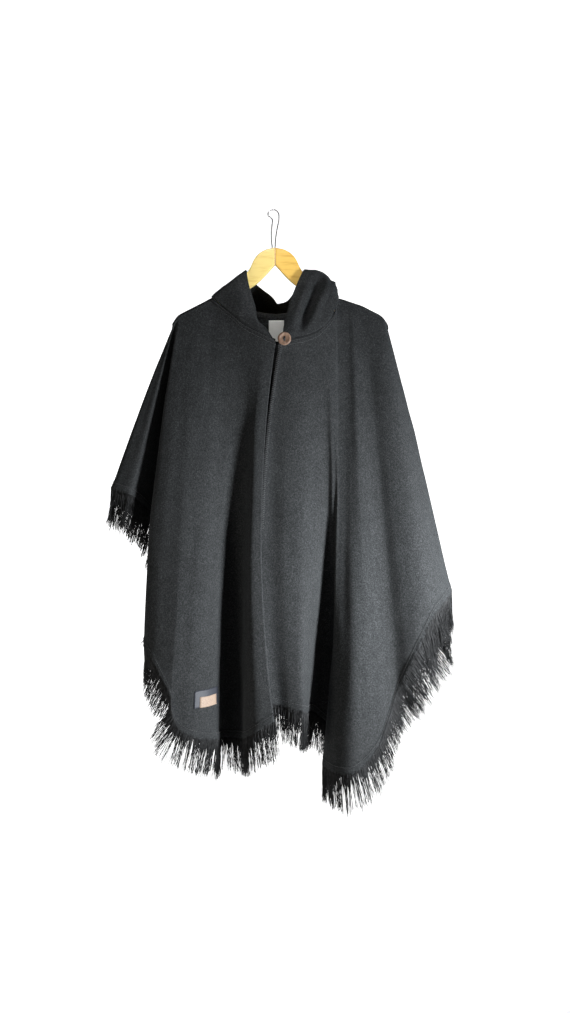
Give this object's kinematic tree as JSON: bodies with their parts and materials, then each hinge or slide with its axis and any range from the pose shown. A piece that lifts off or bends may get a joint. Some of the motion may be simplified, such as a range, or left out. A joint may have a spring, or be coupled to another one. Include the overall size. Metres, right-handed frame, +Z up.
{
  "type": "hooded poncho on a hanger",
  "caption": "Black hooded felted-wool poncho with a short front slit, a neck button and a yarn-fringed hem, hanging on a pale wooden hanger with a thin wire hook.",
  "frame": {"origin": "inside of the top of the hanger's wire hook, where a peg or a rail carries the object", "axes": "+Z up, the front with its slit and button faces -Y, and +X is the right of a viewer who faces the front"},
  "size_m": [0.7729, 0.2704, 1.2745],
  "materials": {
    "black_cloth": "felted wool with a soft nap",
    "black_yarn": "loose spun wool yarn",
    "pale_wood": "clear lacquer",
    "warm_wood": "clear lacquer",
    "chrome_wire": "bright plated steel wire",
    "brown_shell": "turned shell or horn, softly polished",
    "white_tape": "woven tape",
    "dark_tape": "woven tape"
  },
  "bodies": {
    "root": {"back": "black_cloth", "button": "brown_shell", "button_thread": "black_yarn", "fringe_back_left": "black_yarn", "fringe_back_left_side": "black_yarn", "fringe_back_right": "black_yarn", "fringe_back_right_corner": "black_yarn", "fringe_back_right_side": "black_yarn", "fringe_left_front": "black_yarn", "fringe_left_gully": "black_yarn", "fringe_left_recess": "black_yarn", "fringe_left_side": "black_yarn", "fringe_left_wing": "black_yarn", "fringe_middle_left": "black_yarn", "fringe_middle_right": "black_yarn", "fringe_right_lobe": "black_yarn", "fringe_right_recess": "black_yarn", "fringe_right_side": "black_yarn", "fringe_right_wing": "black_yarn", "front": "black_cloth", "hanger_arm_left": "pale_wood", "hanger_arm_right": "warm_wood", "hanger_hook": "chrome_wire", "hem_label": "dark_tape", "hood_left": "black_cloth", "hood_right": "black_cloth", "neck_label": "white_tape"}
  },
  "joints": []
}
